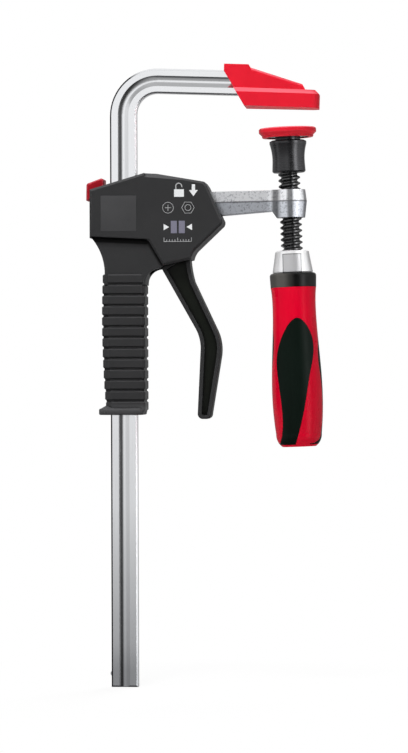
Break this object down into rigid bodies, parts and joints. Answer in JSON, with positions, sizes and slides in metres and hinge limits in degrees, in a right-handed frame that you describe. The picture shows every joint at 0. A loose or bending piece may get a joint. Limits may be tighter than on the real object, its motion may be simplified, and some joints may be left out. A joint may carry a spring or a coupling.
{
  "type": "quick release bar clamp",
  "caption": "Bar clamp with a pump lever that steps the slide along a profiled rail, a thumb release and a screw handle with a swivel pad.",
  "frame": {"origin": "middle of the fixed jaw's clamping face", "axes": "+X from the rail to the spindle, +Z along the rail towards the fixed jaw, +Y from the front to the back"},
  "size_m": [0.1719, 0.0418, 0.4536],
  "materials": {
    "rail_steel": "bright nickel-plated profiled bar",
    "red_cap": "satin red moulded cap",
    "forging_zinc": "zinc-plated drop forging",
    "bright_pin": "ground steel pin",
    "housing_plastic": "fine-textured dark grey moulding",
    "lever_plastic": "fine-textured dark grey moulding",
    "screw_black": "blackened screws",
    "spring_steel": "drawn spring wire",
    "plate_steel": "hardened plate",
    "red_tab": "satin red thumb tab",
    "black_oxide": "oiled black oxide",
    "ferrule_satin": "satin silver cone",
    "black_rubber": "soft black inlay",
    "handle_red": "glossy red core"
  },
  "bodies": {
    "rail": {"rail": "rail_steel", "jaw_cap": "red_cap"},
    "slider": {"slide_arm": "forging_zinc", "fulcrum_pin": "bright_pin", "housing_front": "housing_plastic", "housing_back": "housing_plastic", "housing_screws": "screw_black", "lever_pin": "bright_pin", "brake_spring": "spring_steel", "drive_spring": "spring_steel"},
    "lever": {"lever": "lever_plastic"},
    "drive": {"drive_plate": "plate_steel"},
    "release": {"brake_plate": "plate_steel", "release_tab": "red_tab"},
    "collar": {"swivel_collar": "black_oxide"},
    "screw": {"spindle": "black_oxide", "retaining_ring": "spring_steel", "ferrule": "ferrule_satin", "handle_pin": "bright_pin", "handle_ring": "black_rubber", "handle_core": "handle_red", "handle_inlays": "black_rubber"},
    "pad": {"pressure_plate": "black_oxide", "pad_cap": "red_cap"}
  },
  "joints": [
    {"name": "slide", "type": "slide", "parent": "rail", "child": "slider", "axis": [0, 0, 1], "range_m": [-0.1865, 0.005]},
    {"name": "lever_squeeze", "type": "hinge", "parent": "slider", "child": "lever", "pos_m": [-0.09, 0, -0.087], "axis": [0, 1, 0], "range_deg": [0, 14], "stiffness_Nm_per_rad": 0.6, "springref_deg": -28.65},
    {"name": "drive_step", "type": "slide", "parent": "slider", "child": "drive", "axis": [0, 0, -1], "range_m": [0, 0.0022], "deforming": ["drive_spring"]},
    {"name": "release_press", "type": "hinge", "parent": "slider", "child": "release", "pos_m": [-0.09678, 0, -0.05946], "axis": [0, -1, 0], "range_deg": [0, 5], "stiffness_Nm_per_rad": 0.8, "springref_deg": -20.05, "deforming": ["brake_spring"]},
    {"name": "spindle_feed", "type": "slide", "parent": "slider", "child": "collar", "axis": [-0.0349, 0, 0.9994], "range_m": [-0.0115, 0.0055]},
    {"name": "spindle_turn", "type": "hinge", "parent": "collar", "child": "screw", "pos_m": [0.00659, 0, -0.07466], "axis": [-0.0349, 0, 0.9994], "range_deg": [-963.2, 460.9]},
    {"name": "pad_tilt", "type": "hinge", "parent": "collar", "child": "pad", "pos_m": [0.00509, 0, -0.03169], "axis": [0, 1, 0], "range_deg": [-5, 5]}
  ],
  "couplings": [
    {"joint": "drive_step", "follows": "lever_squeeze", "m_per_rad": 0.009},
    {"joint": "spindle_turn", "follows": "spindle_feed", "rad_per_m": 1461.2}
  ]
}
